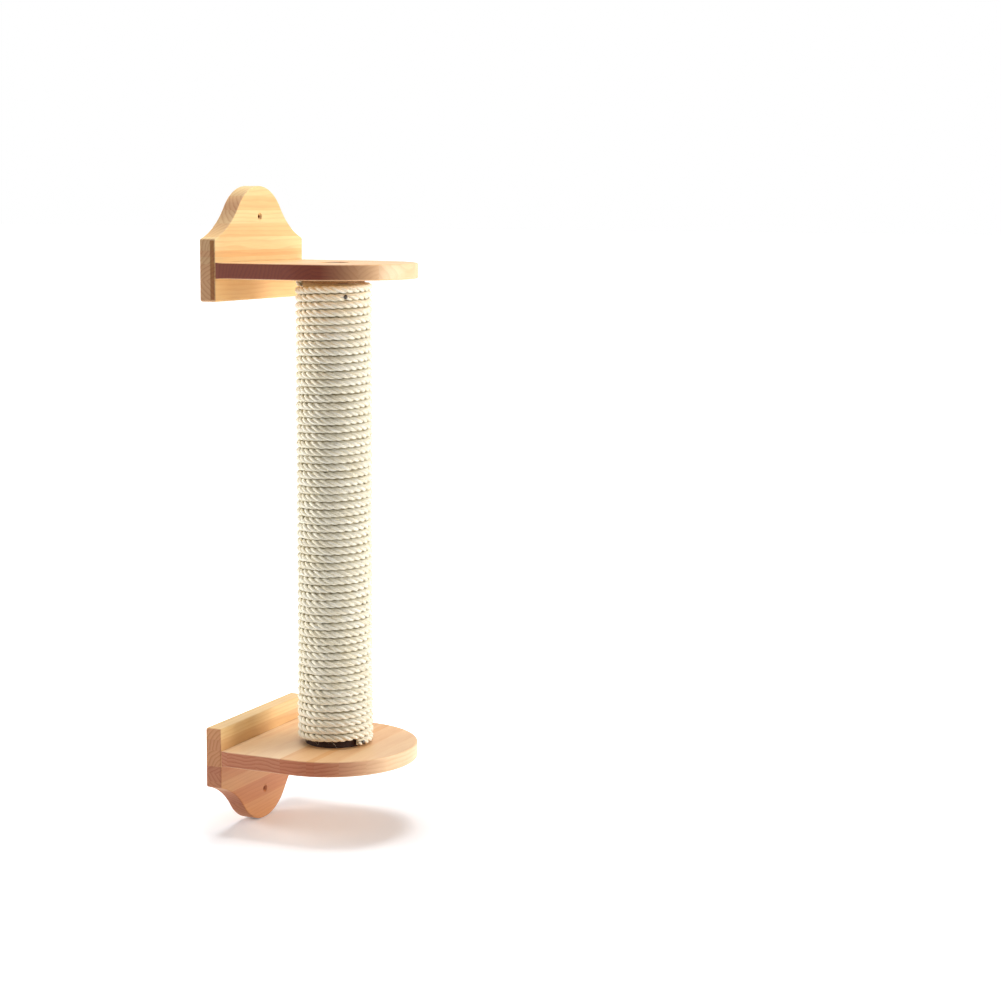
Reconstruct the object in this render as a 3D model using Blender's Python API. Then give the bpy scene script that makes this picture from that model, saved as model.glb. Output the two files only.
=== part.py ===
"""Wall-mounted cat scratching post.

Two bell-topped wall plates carry two D-shaped shelves, and a post wound with sisal rope is bolted between the
shelves. Units are metres. The wall is the plane Y = 0 and the object stands out from it along -Y, with +Z up.
The origin is on the back of the upper wall plate, on its centre line, level with the middle of the upper shelf.

Each end is built in its own frame: the wall at Y = 0, the middle of the shelf at Z = 0, the crown of the plate
towards +Z and the post towards -Z. The lower end is the same group turned over, half a turn about Y.
"""

import math

import bmesh
import bpy
import numpy as np
from mathutils import Matrix, Vector

# Clearance between faces that touch
FIT_GAP = 0.0003

# The wall plates and the shelves are flush at both sides
BOARD_WIDTH = 0.200

# Wall plate: a board with a bell-shaped crown
PLATE_THICKNESS = 0.020
PLATE_FOOT = 0.035  # from the middle of the shelf to the plate's straight edge
PLATE_SHOULDER = 0.035  # from the middle of the shelf to the end of the straight sides
BELL_HEIGHT = 0.060
CROWN_RADIUS = 0.060
SHOULDER_SLOPE = math.radians(16)  # how steeply the hollow of the bell rises from the side
PLATE_CORNER_RADIUS = 0.003
PLATE_EDGE_ROUND = 0.0015

# Wall screw hole, on the plate's centre line
WALL_HOLE_FROM_CROWN = 0.035
WALL_HOLE_RADIUS = 0.0025
WALL_HOLE_MOUTH_RADIUS = 0.0045

# Shelf: straight sides out from the plate, then a half circle. The post stands in the middle of its depth
SHELF_THICKNESS = 0.018
SHELF_DEPTH = 0.192
SHELF_EDGE_ROUND = 0.002

# Screws from the back of the plate into the shelf
SHELF_SCREW_SPACING = 0.120
SHELF_SCREW_RADIUS = 0.002
SHELF_SCREW_HEAD_RADIUS = 0.004
SHELF_SCREW_LENGTH = 0.050
SHELF_SCREW_TIP = 0.004

# Post: a paper tube with a wooden plug in each end
TUBE_LENGTH = 0.5414
TUBE_RADIUS = 0.0355
TUBE_WALL = 0.004
PLUG_THICKNESS = 0.018

# Bolt, washer and threaded insert that join a shelf to the post
BOLT_RADIUS = 0.004
BOLT_LENGTH = 0.028
BOLT_HEAD_RADIUS = 0.0085
BOLT_HEAD_HEIGHT = 0.0027
BOLT_HEAD_ROUND = 0.0008
BOLT_SOCKET_RADIUS = 0.0029
BOLT_SOCKET_DEPTH = 0.0018
BOLT_HEAD_BELOW_SHELF = 0.0006
WASHER_RADIUS = 0.015
WASHER_THICKNESS = 0.0015
RECESS_CLEARANCE = 0.0035  # between the washer's rim and the wall of the recess
INSERT_WALL = 0.0018
INSERT_LENGTH = 0.013

# Sisal rope, wound on the tube in one layer
ROPE_DIAMETER = 0.0082
ROPE_TURN_GAP = 0.0005
ROPE_SIDES = 6
ROPE_POINTS_PER_TURN = 11.5
ROPE_TOP_GAP = 0.0012
ROPE_BOTTOM_GAP = 0.0010
ROPE_TOP_END_ANGLE = math.radians(113)
ROPE_BOTTOM_END_ANGLE = math.radians(247)

# Tacks that hold the rope, one in its second turn and one near its lower end
UPPER_TACK_TURNS = 1.65
TACK_RADIUS = 0.0010
TACK_HEAD_RADIUS = 0.0030
TACK_HEAD_THICKNESS = 0.0008
TACK_IN_TUBE = 0.0030

# Faces round a turned piece, and points in each arc of an outline
ROUND_SIDES = 32
CROWN_POINTS = 28
HOLLOW_POINTS = 10
CORNER_POINTS = 3
SHELF_ARC_POINTS = 44
EDGE_SEGMENTS = 2
CUTTER_OVERRUN = 0.004

# Sizes that follow from the ones above
POST_AXIS_Y = -(PLATE_THICKNESS + FIT_GAP + SHELF_DEPTH / 2)
POST_TOP_Z = -(SHELF_THICKNESS / 2 + FIT_GAP)
SHELF_SPACING = TUBE_LENGTH + 2 * FIT_GAP + SHELF_THICKNESS
BOLT_HEAD_TOP_Z = SHELF_THICKNESS / 2 - BOLT_HEAD_BELOW_SHELF
BOLT_HEAD_SEAT_Z = BOLT_HEAD_TOP_Z - BOLT_HEAD_HEIGHT
WASHER_TOP_Z = BOLT_HEAD_SEAT_Z - FIT_GAP
RECESS_FLOOR_Z = WASHER_TOP_Z - WASHER_THICKNESS - FIT_GAP
INSERT_BORE_RADIUS = BOLT_RADIUS + FIT_GAP
INSERT_RADIUS = INSERT_BORE_RADIUS + INSERT_WALL


def clear_scene():
    for obj in list(bpy.data.objects):
        bpy.data.objects.remove(obj, do_unlink=True)


def material(name, colour, roughness, metallic=0.0):
    made = bpy.data.materials.new(name)
    made.use_nodes = True
    shader = made.node_tree.nodes["Principled BSDF"]
    shader.inputs["Base Color"].default_value = (*colour, 1.0)
    shader.inputs["Roughness"].default_value = roughness
    shader.inputs["Metallic"].default_value = metallic
    return made


def add_object(name, mesh, finish=None, parent=None, smooth_angle=math.radians(35)):
    """An object of this mesh, in the frame of its parent."""
    obj = bpy.data.objects.new(name, mesh)
    bpy.context.collection.objects.link(obj)
    obj.parent = parent
    if finish is not None:
        mesh.materials.append(finish)
    mesh.shade_smooth()
    mesh.set_sharp_from_angle(angle=smooth_angle)
    return obj


def end_frame(name, height, turned_over):
    """The empty that one end is built on. Turned over, its +Z points down."""
    frame = bpy.data.objects.new(name, None)
    bpy.context.collection.objects.link(frame)
    frame.location.z = height
    frame.rotation_euler.y = math.pi if turned_over else 0.0
    return frame


def arc(centre, radius, start, stop, count):
    """Points on a circle from one angle to another, both ends included."""
    angles = np.linspace(start, stop, count)
    return [(centre[0] + radius * math.cos(a), centre[1] + radius * math.sin(a)) for a in angles]


def extruded(name, outline, depth, to_frame):
    """A prism of this outline, which lies in XY and runs counter-clockwise, raised by depth along +Z and then
    turned into place by to_frame."""
    mesh = bpy.data.meshes.new(name)
    shape = bmesh.new()
    face = shape.faces.new([shape.verts.new((x, y, 0.0)) for x, y in outline])
    grown = bmesh.ops.extrude_face_region(shape, geom=[face])
    raised = [item for item in grown["geom"] if isinstance(item, bmesh.types.BMVert)]
    bmesh.ops.translate(shape, vec=(0.0, 0.0, depth), verts=raised)
    bmesh.ops.transform(shape, matrix=to_frame, verts=shape.verts)
    bmesh.ops.recalc_face_normals(shape, faces=shape.faces)
    shape.to_mesh(mesh)
    shape.free()
    return mesh


def turned(name, profile, to_frame, sides=ROUND_SIDES):
    """A solid of revolution about Z: profile is a closed loop of (radius, z), and a point of radius zero is a
    pole. The spin is moved into place by to_frame."""
    mesh = bpy.data.meshes.new(name)
    shape = bmesh.new()
    ring = [shape.verts.new((radius, 0.0, z)) for radius, z in profile]
    edges = [shape.edges.new((a, b)) for a, b in zip(ring, ring[1:] + ring[:1])]
    bmesh.ops.spin(
        shape,
        geom=ring + edges,
        cent=(0.0, 0.0, 0.0),
        axis=(0.0, 0.0, 1.0),
        angle=math.tau,
        steps=sides,
        use_merge=True,
    )
    bmesh.ops.remove_doubles(shape, verts=shape.verts, dist=1e-6)
    bmesh.ops.dissolve_degenerate(shape, dist=1e-7, edges=shape.edges)
    bmesh.ops.transform(shape, matrix=to_frame, verts=shape.verts)
    bmesh.ops.recalc_face_normals(shape, faces=shape.faces)
    shape.to_mesh(mesh)
    shape.free()
    return mesh


def cut(target, cutter):
    """Takes the cutter's shape out of the target, with the cutter kept out of sight."""
    cutter.hide_render = True
    cutter.display_type = "WIRE"
    boolean = target.modifiers.new(cutter.name, "BOOLEAN")
    boolean.operation = "DIFFERENCE"
    boolean.solver = "EXACT"
    boolean.object = cutter


def round_edges(obj, width):
    """Rounds the sharp edges of an extruded board, before anything is cut from it."""
    rounding = obj.modifiers.new("edge rounding", "BEVEL")
    rounding.width = width
    rounding.segments = EDGE_SEGMENTS
    rounding.limit_method = "ANGLE"
    rounding.angle_limit = math.radians(60)


def plate_outline():
    """The plate seen from the front as (x, z): a straight foot and sides, and a crown arc that runs down into
    the shoulders through a hollow arc on each side. The hollow arc's radius makes it tangent to the crown and
    gives it the shoulder's slope at the side of the plate."""
    half = BOARD_WIDTH / 2
    crown_centre = BELL_HEIGHT - CROWN_RADIUS
    sideways = math.sin(SHOULDER_SLOPE)
    upwards = math.cos(SHOULDER_SLOPE)
    reach = CROWN_RADIUS + crown_centre * upwards - half * sideways
    hollow_radius = (half**2 + crown_centre**2 - CROWN_RADIUS**2) / (2 * reach)
    hollow_x = half + hollow_radius * sideways
    hollow_z = hollow_radius * upwards
    meeting = math.atan2(hollow_z - crown_centre, hollow_x)
    corner = PLATE_CORNER_RADIUS
    top = PLATE_SHOULDER
    crown = arc((0.0, top + crown_centre), CROWN_RADIUS, meeting, math.pi - meeting, CROWN_POINTS)
    right_hollow = arc(
        (hollow_x, top + hollow_z),
        hollow_radius,
        1.5 * math.pi - SHOULDER_SLOPE,
        math.pi + meeting,
        HOLLOW_POINTS,
    )
    left_hollow = [(-x, z) for x, z in reversed(right_hollow)]
    foot_right = arc(
        (half - corner, corner - PLATE_FOOT), corner, -math.pi / 2, 0.0, CORNER_POINTS
    )
    corner_z = top - corner * (1 - sideways) / upwards
    shoulder_right = arc(
        (half - corner, corner_z), corner, 0.0, math.pi / 2 - SHOULDER_SLOPE, CORNER_POINTS
    )
    right = foot_right + shoulder_right + [p for p in right_hollow[1:-1] if p[0] < half - corner]
    left = [p for p in left_hollow[1:-1] if p[0] > corner - half]
    left += [(-x, z) for x, z in reversed(foot_right + shoulder_right)]
    return right + crown + left


def shelf_outline():
    """The shelf seen from above as (x, y), its back edge against the plate."""
    half = BOARD_WIDTH / 2
    back = -(PLATE_THICKNESS + FIT_GAP)
    front = arc((0.0, back - SHELF_DEPTH + half), half, math.pi, math.tau, SHELF_ARC_POINTS)
    return [(half, back), (-half, back)] + front


def along_y(x, y, z):
    """The frame whose +Z points out from the wall, along -Y, at this place."""
    return Matrix.Translation((x, y, z)) @ Matrix.Rotation(math.pi / 2, 4, "X")


def build_wall_plate(end, parent, finish):
    board = extruded("wall_plate", plate_outline(), PLATE_THICKNESS, along_y(0.0, 0.0, 0.0))
    plate = add_object(f"{end}_wall_plate", board, finish, parent)
    round_edges(plate, PLATE_EDGE_ROUND)

    # The screw hole: a plain bore with a cone under its mouth
    depth = PLATE_THICKNESS
    cone = WALL_HOLE_MOUTH_RADIUS - WALL_HOLE_RADIUS
    profile = [
        (0.0, -CUTTER_OVERRUN),
        (WALL_HOLE_RADIUS, -CUTTER_OVERRUN),
        (WALL_HOLE_RADIUS, depth - cone),
        (WALL_HOLE_MOUTH_RADIUS, depth),
        (WALL_HOLE_MOUTH_RADIUS, depth + CUTTER_OVERRUN),
        (0.0, depth + CUTTER_OVERRUN),
    ]
    hole_z = PLATE_SHOULDER + BELL_HEIGHT - WALL_HOLE_FROM_CROWN
    hole = turned("wall_hole", profile, along_y(0.0, 0.0, hole_z))
    cut(plate, add_object(f"{end}_wall_hole_cutter", hole, parent=parent))
    return plate


def shelf_screw_profile(gap, overrun):
    """The screw as (radius, distance from its head), grown by gap. With an overrun it is the cutter for its
    countersunk hole, which starts behind the head."""
    head = SHELF_SCREW_HEAD_RADIUS + gap
    shank = SHELF_SCREW_RADIUS + gap
    cone_end = SHELF_SCREW_HEAD_RADIUS - SHELF_SCREW_RADIUS
    tip = SHELF_SCREW_LENGTH + gap
    start = [(0.0, -overrun), (head, -overrun)] if overrun else [(0.0, 0.0)]
    return start + [(head, 0.0), (shank, cone_end), (shank, tip - SHELF_SCREW_TIP), (0.0, tip)]


def build_shelf(end, parent, finish):
    lowest = Matrix.Translation((0.0, 0.0, -SHELF_THICKNESS / 2))
    board = extruded("shelf", shelf_outline(), SHELF_THICKNESS, lowest)
    shelf = add_object(f"{end}_shelf", board, finish, parent)
    round_edges(shelf, SHELF_EDGE_ROUND)

    # The recess for the washer and the bolt's head, and the bolt's hole, in one stepped cutter
    wide = WASHER_RADIUS + RECESS_CLEARANCE
    narrow = BOLT_RADIUS + FIT_GAP
    above = SHELF_THICKNESS / 2 + CUTTER_OVERRUN
    profile = [
        (0.0, -above),
        (narrow, -above),
        (narrow, RECESS_FLOOR_Z),
        (wide, RECESS_FLOOR_Z),
        (wide, above),
        (0.0, above),
    ]
    recess = turned("recess", profile, Matrix.Translation((0.0, POST_AXIS_Y, 0.0)))
    cut(shelf, add_object(f"{end}_recess_cutter", recess, parent=parent))
    return shelf


def build_shelf_screws(end, parent, finish, plate, shelf):
    """Two countersunk screws through the plate from the wall side, flush with its back."""
    for side, x in (("left", -SHELF_SCREW_SPACING / 2), ("right", SHELF_SCREW_SPACING / 2)):
        place = along_y(x, -FIT_GAP, 0.0)
        screw = turned("shelf_screw", shelf_screw_profile(0.0, 0.0), place)
        add_object(f"{end}_{side}_shelf_screw", screw, finish, parent)
        hole = turned("shelf_screw_hole", shelf_screw_profile(FIT_GAP, CUTTER_OVERRUN), place)
        cutter = add_object(f"{end}_{side}_screw_hole_cutter", hole, parent=parent)
        cut(plate, cutter)
        cut(shelf, cutter)


def build_post_fixing(end, parent, metal, wood):
    """The plug in the tube's end, the insert in the plug, and the washer and bolt in the shelf's recess."""
    axis = Matrix.Translation((0.0, POST_AXIS_Y, 0.0))

    plug_radius = TUBE_RADIUS - TUBE_WALL - FIT_GAP
    plug_bore = INSERT_RADIUS + FIT_GAP
    plug_low = POST_TOP_Z - PLUG_THICKNESS
    plug = [
        (plug_bore, plug_low),
        (plug_radius, plug_low),
        (plug_radius, POST_TOP_Z),
        (plug_bore, POST_TOP_Z),
    ]
    add_object(f"{end}_end_plug", turned("end_plug", plug, axis), wood, parent)

    insert_low = POST_TOP_Z - INSERT_LENGTH
    insert = [
        (INSERT_BORE_RADIUS, insert_low),
        (INSERT_RADIUS, insert_low),
        (INSERT_RADIUS, POST_TOP_Z),
        (INSERT_BORE_RADIUS, POST_TOP_Z),
    ]
    add_object(f"{end}_insert_nut", turned("insert_nut", insert, axis), metal, parent)

    washer_low = WASHER_TOP_Z - WASHER_THICKNESS
    washer_hole = BOLT_RADIUS + FIT_GAP
    washer = [
        (washer_hole, washer_low),
        (WASHER_RADIUS, washer_low),
        (WASHER_RADIUS, WASHER_TOP_Z),
        (washer_hole, WASHER_TOP_Z),
    ]
    add_object(f"{end}_washer", turned("washer", washer, axis), metal, parent)

    bolt_low = BOLT_HEAD_SEAT_Z - BOLT_LENGTH
    bolt = [
        (0.0, bolt_low),
        (BOLT_RADIUS, bolt_low),
        (BOLT_RADIUS, BOLT_HEAD_SEAT_Z),
        (BOLT_HEAD_RADIUS, BOLT_HEAD_SEAT_Z),
        (BOLT_HEAD_RADIUS, BOLT_HEAD_TOP_Z - BOLT_HEAD_ROUND),
        (BOLT_HEAD_RADIUS - BOLT_HEAD_ROUND, BOLT_HEAD_TOP_Z),
        (0.0, BOLT_HEAD_TOP_Z),
    ]
    headed = add_object(f"{end}_post_bolt", turned("post_bolt", bolt, axis), metal, parent)
    socket_low = BOLT_HEAD_TOP_Z - BOLT_SOCKET_DEPTH
    socket = [
        (0.0, socket_low),
        (BOLT_SOCKET_RADIUS, socket_low),
        (BOLT_SOCKET_RADIUS, BOLT_HEAD_TOP_Z + CUTTER_OVERRUN),
        (0.0, BOLT_HEAD_TOP_Z + CUTTER_OVERRUN),
    ]
    hexagon = turned("bolt_socket", socket, axis, sides=6)
    cut(headed, add_object(f"{end}_bolt_socket_cutter", hexagon, parent=parent))


def build_end(end, height, turned_over, finishes):
    frame = end_frame(f"{end}_end", height, turned_over)
    plate = build_wall_plate(end, frame, finishes["pine"])
    shelf = build_shelf(end, frame, finishes["pine"])
    build_shelf_screws(end, frame, finishes["zinc"], plate, shelf)
    build_post_fixing(end, frame, finishes["zinc"], finishes["plywood"])


def build_tube(finish):
    inner = TUBE_RADIUS - TUBE_WALL
    low = POST_TOP_Z - TUBE_LENGTH
    profile = [(inner, low), (TUBE_RADIUS, low), (TUBE_RADIUS, POST_TOP_Z), (inner, POST_TOP_Z)]
    axis = Matrix.Translation((0.0, POST_AXIS_Y, 0.0))
    return add_object("post_core_tube", turned("post_core_tube", profile, axis), finish)


def rope_centreline():
    """The middle of the rope, and the outward direction at each point. It is a right-handed helix that goes down
    as its angle falls, with its radius set so that the flats between its points clear the tube. Each end runs
    straight on for one rope diameter. The turns are as many as the height takes, spread evenly."""
    flat = ROPE_DIAMETER / 2 * math.cos(math.pi / ROPE_SIDES)
    radius = (TUBE_RADIUS + FIT_GAP) / math.cos(math.pi / ROPE_POINTS_PER_TURN) + flat
    shelf_under = -SHELF_THICKNESS / 2
    shelf_over = SHELF_THICKNESS / 2 - SHELF_SPACING
    top = shelf_under - ROPE_TOP_GAP - ROPE_DIAMETER / 2
    bottom = shelf_over + ROPE_BOTTOM_GAP + ROPE_DIAMETER / 2
    straight_turn = ROPE_DIAMETER / radius / math.tau
    part_turn = (ROPE_TOP_END_ANGLE - ROPE_BOTTOM_END_ANGLE) / math.tau - 2 * straight_turn
    most_turns = (top - bottom) / (ROPE_DIAMETER + ROPE_TURN_GAP)
    turns = math.floor(most_turns - part_turn) + part_turn
    count = round(turns * ROPE_POINTS_PER_TURN) + 1
    share = np.linspace(0.0, 1.0, count)
    angle = ROPE_TOP_END_ANGLE - (straight_turn + share * turns) * math.tau
    outward = np.stack([np.cos(angle), np.sin(angle), np.zeros(count)], axis=1)
    points = outward * radius
    points[:, 1] += POST_AXIS_Y
    points[:, 2] = top + share * (bottom - top)

    slope = (bottom - top) / (turns * math.tau * radius)
    run = np.array([[np.sin(a), -np.cos(a), slope] for a in (angle[0], angle[-1])])
    run *= ROPE_DIAMETER / np.linalg.norm(run, axis=1)[:, None]
    points = np.vstack([points[0] - run[0], points, points[-1] + run[1]])
    outward = np.vstack([outward[0], outward, outward[-1]])
    return points, outward


def rope_self_gap(points):
    """The least distance between the rope's own turns, in metres, from points spread along its middle."""
    per_step = 8
    share = np.arange(0, len(points) - 1, 1 / per_step)
    whole = share.astype(int)
    part = (share - whole)[:, None]
    dense = points[whole] * (1 - part) + points[whole + 1] * part
    turn = int(ROPE_POINTS_PER_TURN * per_step)
    least = min(
        np.linalg.norm(dense[offset:] - dense[:-offset], axis=1).min()
        for offset in range(turn // 2, turn * 3 // 2)
    )
    return least - ROPE_DIAMETER


def build_rope(finish):
    """One unbroken tube: a ring of corners round each point of the centreline, square to the rope's run, with
    two corners up and down so that a flat faces the tube."""
    points, outward = rope_centreline()
    gap = rope_self_gap(points)
    print(f"sisal_rope: least gap to itself {gap * 1000:.2f} mm")
    steps = np.diff(points, axis=0)
    steps /= np.linalg.norm(steps, axis=1)[:, None]
    along = np.vstack([steps[0], steps[:-1] + steps[1:], steps[-1]])
    upward = np.cross(along, outward)
    upward /= np.linalg.norm(upward, axis=1)[:, None]
    corner = math.pi / 2 + np.arange(ROPE_SIDES) * math.tau / ROPE_SIDES
    reach = ROPE_DIAMETER / 2
    rings = (
        points[:, None]
        + reach * np.cos(corner)[None, :, None] * outward[:, None]
        + reach * np.sin(corner)[None, :, None] * upward[:, None]
    )
    here = np.arange(len(points) - 1)[:, None] * ROPE_SIDES
    side = np.arange(ROPE_SIDES)
    after = (side + 1) % ROPE_SIDES
    sides = np.stack(
        [here + side, here + after, here + after + ROPE_SIDES, here + side + ROPE_SIDES], axis=-1
    )
    last = (len(points) - 1) * ROPE_SIDES
    faces = sides.reshape(-1, 4).tolist()
    faces.append(side[::-1].tolist())
    faces.append((last + side).tolist())
    mesh = bpy.data.meshes.new("sisal_rope")
    mesh.from_pydata(rings.reshape(-1, 3).tolist(), [], faces)
    shape = bmesh.new()
    shape.from_mesh(mesh)
    bmesh.ops.recalc_face_normals(shape, faces=shape.faces)
    shape.to_mesh(mesh)
    shape.free()
    return add_object("sisal_rope", mesh, finish, smooth_angle=math.radians(70))


def build_rope_tack(name, point, outward, finish, rope, tube):
    """A flat-headed tack at this point of the rope's middle, driven through the rope into the tube."""
    rope_face = ROPE_DIAMETER / 2 * math.cos(math.pi / ROPE_SIDES)
    seat = np.linalg.norm([point[0], point[1] - POST_AXIS_Y]) + rope_face + FIT_GAP
    tip = TUBE_RADIUS - TACK_IN_TUBE
    shank = [
        (0.0, tip),
        (TACK_RADIUS, tip + 2 * TACK_RADIUS),
        (TACK_RADIUS, seat),
        (TACK_HEAD_RADIUS, seat),
        (TACK_HEAD_RADIUS, seat + TACK_HEAD_THICKNESS / 2),
        (TACK_HEAD_RADIUS / 2, seat + TACK_HEAD_THICKNESS),
        (0.0, seat + TACK_HEAD_THICKNESS),
    ]
    turn = Vector(outward).to_track_quat("Z", "X").to_matrix().to_4x4()
    place = Matrix.Translation((0.0, POST_AXIS_Y, point[2])) @ turn
    add_object(name, turned("rope_tack", shank, place, sides=16), finish)
    bore = TACK_RADIUS + FIT_GAP
    inner = TUBE_RADIUS - TUBE_WALL - CUTTER_OVERRUN
    outer = seat + CUTTER_OVERRUN
    hole = [(0.0, inner), (bore, inner), (bore, outer), (0.0, outer)]
    cutter = add_object(f"{name}_hole_cutter", turned("tack_hole", hole, place, sides=12))
    cut(rope, cutter)
    cut(tube, cutter)


def build_post(finishes):
    tube = build_tube(finishes["paper"])
    rope = build_rope(finishes["sisal"])
    points, outward = rope_centreline()
    upper = 1 + round(UPPER_TACK_TURNS * ROPE_POINTS_PER_TURN)
    for name, index in (("upper_rope_tack", upper), ("lower_rope_tack", -2)):
        build_rope_tack(name, points[index], outward[index], finishes["steel"], rope, tube)


def main():
    clear_scene()
    finishes = {
        "pine": material("edge-glued pine", (0.83, 0.57, 0.29), 0.5),
        "plywood": material("plywood", (0.62, 0.44, 0.25), 0.65),
        "paper": material("wound paper tube", (0.36, 0.23, 0.13), 0.85),
        "sisal": material("sisal rope", (0.66, 0.58, 0.40), 0.9),
        "zinc": material("zinc-plated steel", (0.62, 0.63, 0.65), 0.35, 1.0),
        "steel": material("blued steel", (0.10, 0.10, 0.11), 0.4, 1.0),
    }
    build_end("upper", 0.0, False, finishes)
    build_end("lower", -SHELF_SPACING, True, finishes)
    build_post(finishes)


main()
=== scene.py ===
"""The looks of a wall-mounted cat scratching post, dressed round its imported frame: pine wall plates and
shelves, a post wound with sisal rope, and the hardware that holds them together. Units are metres."""

import math

import bpy
import numpy as np
from mathutils import Matrix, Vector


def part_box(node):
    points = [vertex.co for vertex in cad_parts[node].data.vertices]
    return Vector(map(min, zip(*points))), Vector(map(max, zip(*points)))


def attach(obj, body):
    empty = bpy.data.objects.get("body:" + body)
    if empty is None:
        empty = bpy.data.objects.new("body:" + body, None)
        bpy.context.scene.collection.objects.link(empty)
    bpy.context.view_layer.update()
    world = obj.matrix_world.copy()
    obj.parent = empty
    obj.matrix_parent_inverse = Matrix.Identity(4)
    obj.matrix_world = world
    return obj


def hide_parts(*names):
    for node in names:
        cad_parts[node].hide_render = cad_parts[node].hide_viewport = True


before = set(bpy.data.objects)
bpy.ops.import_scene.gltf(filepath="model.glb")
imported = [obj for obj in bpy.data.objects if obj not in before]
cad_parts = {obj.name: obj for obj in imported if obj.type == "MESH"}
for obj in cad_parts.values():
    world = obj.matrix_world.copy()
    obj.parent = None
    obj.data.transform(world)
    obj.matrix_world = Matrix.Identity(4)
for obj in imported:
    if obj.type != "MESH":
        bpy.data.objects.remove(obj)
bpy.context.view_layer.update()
MM = 0.001

# Wall plates: two bell-topped boards of edge-glued pine, 20 mm thick, sawn to shape and planed, their
# edges rounded with a router. The lower one hangs upside down. Each has a countersunk hole in front for
# the screw into the wall, and two behind for the screws into its shelf.
PLATE_CORNER = 3.0 * MM
HOLLOW_START = 1.6 * PLATE_CORNER  # where the hollow arc begins, in from the side
PLATE_EDGE_ROUND = 1.5 * MM
BELL_HEIGHT = 60.0 * MM
CROWN_RADIUS = 60.0 * MM
SHOULDER_SLOPE = math.radians(16)
WALL_HOLE_FROM_CROWN = 35.0 * MM
WALL_HOLE_RADIUS = 2.5 * MM
WALL_HOLE_MOUTH = 4.5 * MM
SCREW_HOLE_RADIUS = 2.3 * MM
SCREW_HOLE_MOUTH = 4.3 * MM
SCREW_MOUTH_DEPTH = 0.4 * MM
SUPPORT = 0.5 * MM  # how far from an edge the flat face begins again
ROUND_STEPS = 7
CORNER_STEPS = 7
FOOT_STEPS = 8
OUTER_FOOT_STEPS = 16
SIDE_STEPS = 20
HOLLOW_STEPS = 30
CROWN_SIDE_STEPS = 14
CROWN_STEPS = 16
SEAM_STEPS = 14
RING_SPACING = 4.5 * MM  # coarser than pine's 2 mm, so that the rings show
RING_BEND = 9.0 * MM
PITH_NEAREST = 20.0 * MM
PITH_SPREAD = 50.0 * MM
PITH_BEYOND = 0.1  # how far past a board's edges a pith may lie, in its widths
STAVE_STRIDE = 37.0  # keeps the chances of two staves apart
FRONT_SHADE_EDGE = 1.5 * MM
FRONT_SHADE_FACING = (0.94, 0.99)  # how squarely an end faces to show the painted shade strip
LAID_OVER = {"data_type": "RGBA", "blend_type": "MULTIPLY"}  # one colour over another
shelf_low, shelf_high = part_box("upper_shelf")
lower_shelf_low, lower_shelf_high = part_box("lower_shelf")
UPPER_LEVEL = (shelf_low[2] + shelf_high[2]) / 2
LOWER_LEVEL = (lower_shelf_low[2] + lower_shelf_high[2]) / 2


def linear(value):
    """A colour in sRGB hex as linear RGBA, by the sRGB curve. Any other value stays as it is."""
    if not isinstance(value, str):
        return value
    channels = np.array([int(value[at : at + 2], 16) for at in (1, 3, 5)]) / 255
    bent = np.where(channels <= 0.04045, channels / 12.92, ((channels + 0.055) / 1.055) ** 2.4)
    return (*bent.tolist(), 1.0)


def add_node(tree, kind, inputs=None, stops=None, **settings):
    """A shader node of this kind, with its settings. Each of its inputs gets a value, a colour in hex, or a
    link from an output or from a node's first output in use. stops are (position, colour) for a ramp."""
    made = tree.nodes.new("ShaderNode" + kind)
    for setting, value in settings.items():
        setattr(made, setting, value)
    for socket, value in (inputs or {}).items():
        if isinstance(value, bpy.types.Node):
            value = next(output for output in value.outputs if output.enabled)
        if isinstance(value, bpy.types.NodeSocket):
            tree.links.new(value, made.inputs[socket])
        else:
            made.inputs[socket].default_value = linear(value)
    for order, (position, colour) in enumerate(stops or []):
        band = made.color_ramp.elements
        element = band[order] if order < 2 else band.new(position)
        element.position = position
        element.color = linear(colour)
    return made


def new_material(name):
    """An empty material and its node tree."""
    made = bpy.data.materials.new(name)
    made.use_nodes = True
    made.node_tree.nodes.clear()
    return made, made.node_tree


def give_surface(tree, inputs):
    """Ends a material's tree with a Principled shader that has these inputs."""
    add_node(tree, "OutputMaterial", {"Surface": add_node(tree, "BsdfPrincipled", inputs)})


def add_object(name, data):
    """An object with this data, in the scene."""
    made = bpy.data.objects.new(name, data)
    bpy.context.scene.collection.objects.link(made)
    return made


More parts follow.
